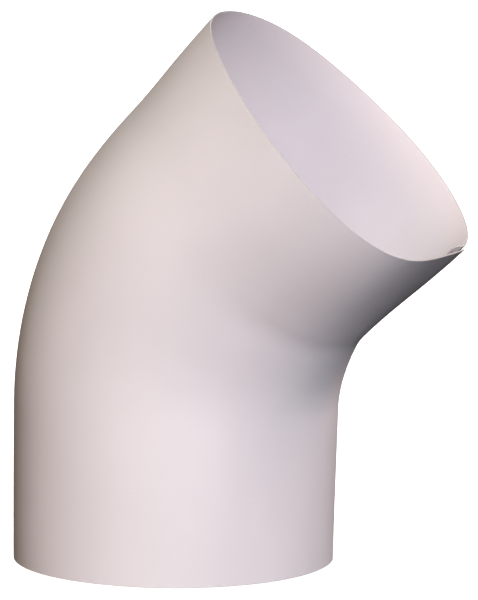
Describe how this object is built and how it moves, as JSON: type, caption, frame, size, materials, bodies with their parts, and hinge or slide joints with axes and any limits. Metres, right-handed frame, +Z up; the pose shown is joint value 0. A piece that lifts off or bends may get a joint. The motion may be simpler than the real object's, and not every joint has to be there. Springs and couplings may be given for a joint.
{
  "type": "slit pipe insulation cover elbow",
  "caption": "Thin white PVC cover for a 45 degree elbow in insulated pipe, slit along the throat, with lapped free edges that spring open about the heel.",
  "frame": {"origin": "centre of the lower rim, on the plane that the cover stands on", "axes": "+Z up the lower leg, +X towards the throat side, where the upper leg leans, and +Y completes the frame; the leaves part in the plane y = 0"},
  "size_m": [0.1596, 0.1177, 0.1953],
  "materials": {
    "pvc_sheet": "satin, smooth thermoformed sheet"
  },
  "bodies": {
    "far_side": {"far_leaf": "pvc_sheet", "inner_lap": "pvc_sheet"},
    "near_side": {"near_leaf": "pvc_sheet", "outer_lap": "pvc_sheet"}
  },
  "joints": [
    {"name": "throat_opening", "type": "hinge", "parent": "far_side", "child": "near_side", "pos_m": [-0.04622, 0, 0.11296], "axis": [-0.3827, 0, -0.9239], "range_deg": [0, 50], "stiffness_Nm_per_rad": 0.12}
  ]
}
